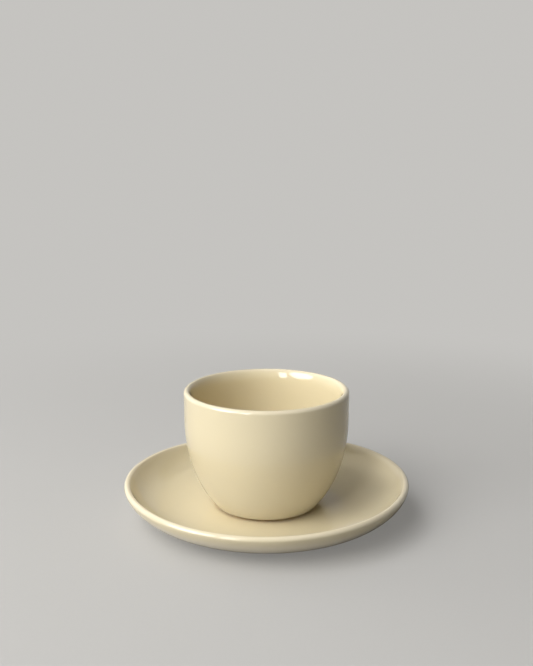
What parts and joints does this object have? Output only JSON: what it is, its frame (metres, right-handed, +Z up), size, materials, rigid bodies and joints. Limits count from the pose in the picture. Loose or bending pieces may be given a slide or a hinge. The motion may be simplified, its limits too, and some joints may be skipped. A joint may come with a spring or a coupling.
{
  "type": "cup and saucer",
  "caption": "Handleless rounded cup with a thick rounded lip and an inset foot ring, standing loose in the flat well of a round coupe saucer; holds a hot drink.",
  "frame": {"origin": "centre of the saucer's foot ring, on the surface the saucer stands on", "axes": "+Z up along the common axis of the cup and the saucer; both are round, so X and Y are alike"},
  "size_m": [0.15, 0.15, 0.0684],
  "materials": {
    "saucer_glaze": "smooth gloss cream glaze, bare on the foot ring",
    "cup_glaze": "smooth gloss cream glaze, bare on the foot ring"
  },
  "bodies": {
    "saucer": {"saucer": "saucer_glaze"},
    "cup": {"cup": "cup_glaze"}
  },
  "joints": [
    {"name": "cup_lift", "type": "slide", "parent": "saucer", "child": "cup", "axis": [0, 0, 1], "range_m": [0, 0.06]}
  ]
}
